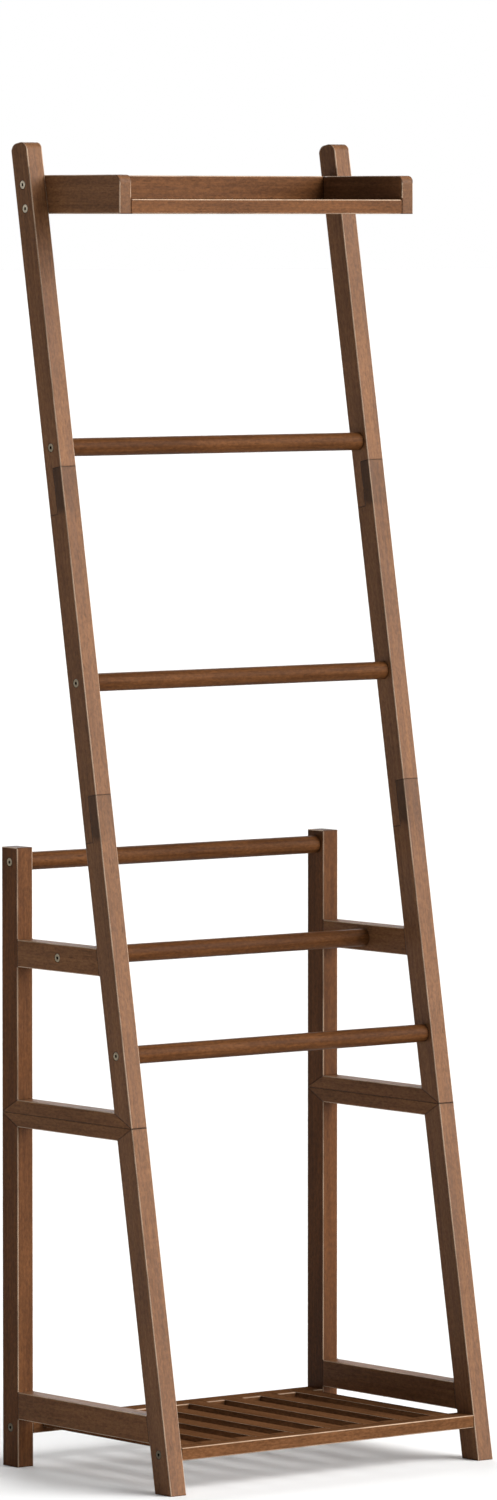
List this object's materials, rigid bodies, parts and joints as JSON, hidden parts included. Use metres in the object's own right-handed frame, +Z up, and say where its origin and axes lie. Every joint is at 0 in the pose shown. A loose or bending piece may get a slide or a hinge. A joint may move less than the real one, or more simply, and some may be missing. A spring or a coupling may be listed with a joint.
{
  "type": "ladder towel rack",
  "caption": "Free-standing wooden ladder towel rack: two leaning side frames, round towel bars, a slatted shelf low down and an open tray near the top.",
  "frame": {"origin": "on the floor, at the centre of the rack's footprint", "axes": "+X across the rack to the right as seen from its front, +Y from the front to the back, +Z up"},
  "size_m": [0.512, 0.344, 1.65],
  "materials": {
    "frame_wood": "walnut stain under satin lacquer, grain along each piece",
    "bar_wood": "walnut stain under satin lacquer, grain along the bar",
    "shelf_wood": "walnut stain under satin lacquer, grain along each piece",
    "tray_wood": "walnut stain under satin lacquer, grain along each board",
    "bolt_metal": "warm-toned plated steel, round flush heads with hexagon sockets",
    "insert_brass": "plain yellow brass, unpolished",
    "dowel_wood": "bare beech, unfinished"
  },
  "bodies": {
    "root": {"left_stile_lower": "frame_wood", "left_stile_middle": "frame_wood", "left_stile_upper": "frame_wood", "left_stile_top": "frame_wood", "left_rear_post_lower": "frame_wood", "left_rear_post_upper": "frame_wood", "left_bottom_side_rail": "frame_wood", "left_lower_frame_top_rail": "frame_wood", "left_upper_frame_bottom_rail": "frame_wood", "left_upper_side_rail": "frame_wood", "right_stile_lower": "frame_wood", "right_stile_middle": "frame_wood", "right_stile_upper": "frame_wood", "right_stile_top": "frame_wood", "right_rear_post_lower": "frame_wood", "right_rear_post_upper": "frame_wood", "right_bottom_side_rail": "frame_wood", "right_lower_frame_top_rail": "frame_wood", "right_upper_frame_bottom_rail": "frame_wood", "right_upper_side_rail": "frame_wood", "top_towel_bar": "bar_wood", "middle_towel_bar": "bar_wood", "lower_towel_bar": "bar_wood", "rear_towel_bar": "bar_wood", "inner_towel_bar": "bar_wood", "shelf_front_rail": "shelf_wood", "shelf_rear_rail": "shelf_wood", "shelf_slat_1": "shelf_wood", "shelf_slat_2": "shelf_wood", "shelf_slat_3": "shelf_wood", "shelf_slat_4": "shelf_wood", "shelf_slat_5": "shelf_wood", "shelf_slat_6": "shelf_wood", "shelf_slat_7": "shelf_wood", "shelf_slat_8": "shelf_wood", "tray_left_side": "tray_wood", "tray_right_side": "tray_wood", "tray_back_board": "tray_wood", "tray_bottom_board": "tray_wood", "bar_bolts": "bolt_metal", "shelf_bolts": "bolt_metal", "tray_bolts": "bolt_metal", "lap_bolts": "bolt_metal", "seam_bolts": "bolt_metal", "bar_inserts": "insert_brass", "shelf_inserts": "insert_brass", "tray_inserts": "insert_brass", "lap_inserts": "insert_brass", "seam_inserts": "insert_brass", "rail_dowels": "dowel_wood", "seam_dowels": "dowel_wood", "tray_dowels": "dowel_wood", "slat_screws": "bolt_metal"}
  },
  "joints": []
}
